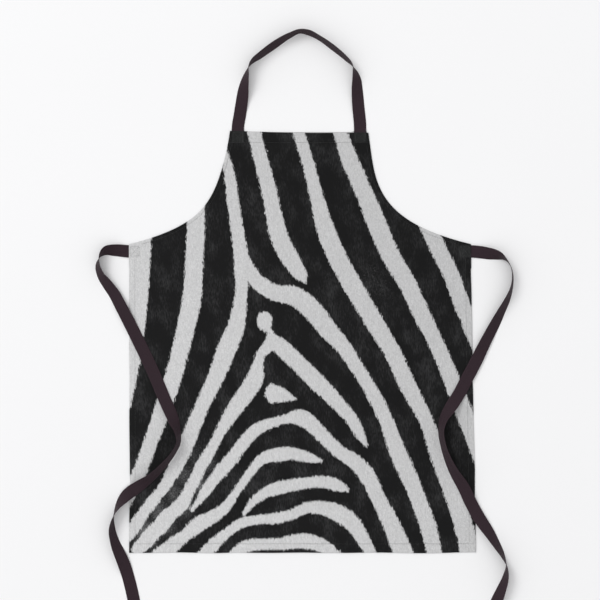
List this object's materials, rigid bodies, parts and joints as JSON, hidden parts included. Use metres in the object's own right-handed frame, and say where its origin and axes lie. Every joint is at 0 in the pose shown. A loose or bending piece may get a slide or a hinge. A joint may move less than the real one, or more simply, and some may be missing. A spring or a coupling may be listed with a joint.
{
  "type": "bib apron",
  "caption": "Bib apron laid flat: striped cloth panel with hollowed armholes and turned hems, a tape neck strap and waist ties that fold.",
  "frame": {"origin": "centre of the base of the apron with its neck strap, without the waist ties, on the surface that it lies on", "axes": "+Z out of the printed front, +Y from the bottom hem to the neck strap, +X to the right seen from the front"},
  "size_m": [0.8494, 1.2749, 0.0275],
  "materials": {
    "printed_cloth": "smooth woven cloth printed with black hide stripes on off-white",
    "turned_cloth": "the same printed cloth, turned under",
    "twill_tape": "matt twill tape, very dark plum brown",
    "thread": "spun sewing thread",
    "label": "woven satin, blank"
  },
  "bodies": {
    "panel": {"front_panel": "printed_cloth", "bib_hem": "turned_cloth", "armhole_hem_left": "turned_cloth", "armhole_hem_right": "turned_cloth", "side_hem_left": "turned_cloth", "side_hem_right": "turned_cloth", "bottom_hem": "turned_cloth", "bib_hem_stitching": "thread", "armhole_hem_stitching_left": "thread", "armhole_hem_stitching_right": "thread", "side_hem_stitching_left": "thread", "side_hem_stitching_right": "thread", "bottom_hem_stitching": "thread", "neck_strap_end_left": "twill_tape", "neck_strap_end_right": "twill_tape", "neck_strap_stitching_left": "thread", "neck_strap_stitching_right": "thread", "waist_tie_root_left": "twill_tape", "waist_tie_root_right": "twill_tape", "waist_tie_stitching_left": "thread", "waist_tie_stitching_right": "thread", "care_label": "label"},
    "neck_loop": {"neck_strap": "twill_tape"},
    "left_tie": {"waist_tie_left": "twill_tape", "waist_tie_end_left": "twill_tape", "waist_tie_end_stitching_left": "thread"},
    "right_tie": {"waist_tie_right": "twill_tape", "waist_tie_end_right": "twill_tape", "waist_tie_end_stitching_right": "thread"}
  },
  "joints": [
    {"name": "neck_strap_fold", "type": "hinge", "parent": "panel", "child": "neck_loop", "pos_m": [0, 0.324, 0.0026], "axis": [1, 0, 0], "range_deg": [0, 165]},
    {"name": "left_tie_fold", "type": "hinge", "parent": "panel", "child": "left_tie", "pos_m": [-0.41409, 0.0515, 0.0125], "axis": [0, -1, 0], "range_deg": [0, 150]},
    {"name": "right_tie_fold", "type": "hinge", "parent": "panel", "child": "right_tie", "pos_m": [0.42509, 0.0285, 0.0125], "axis": [0, 1, 0], "range_deg": [0, 150]}
  ]
}
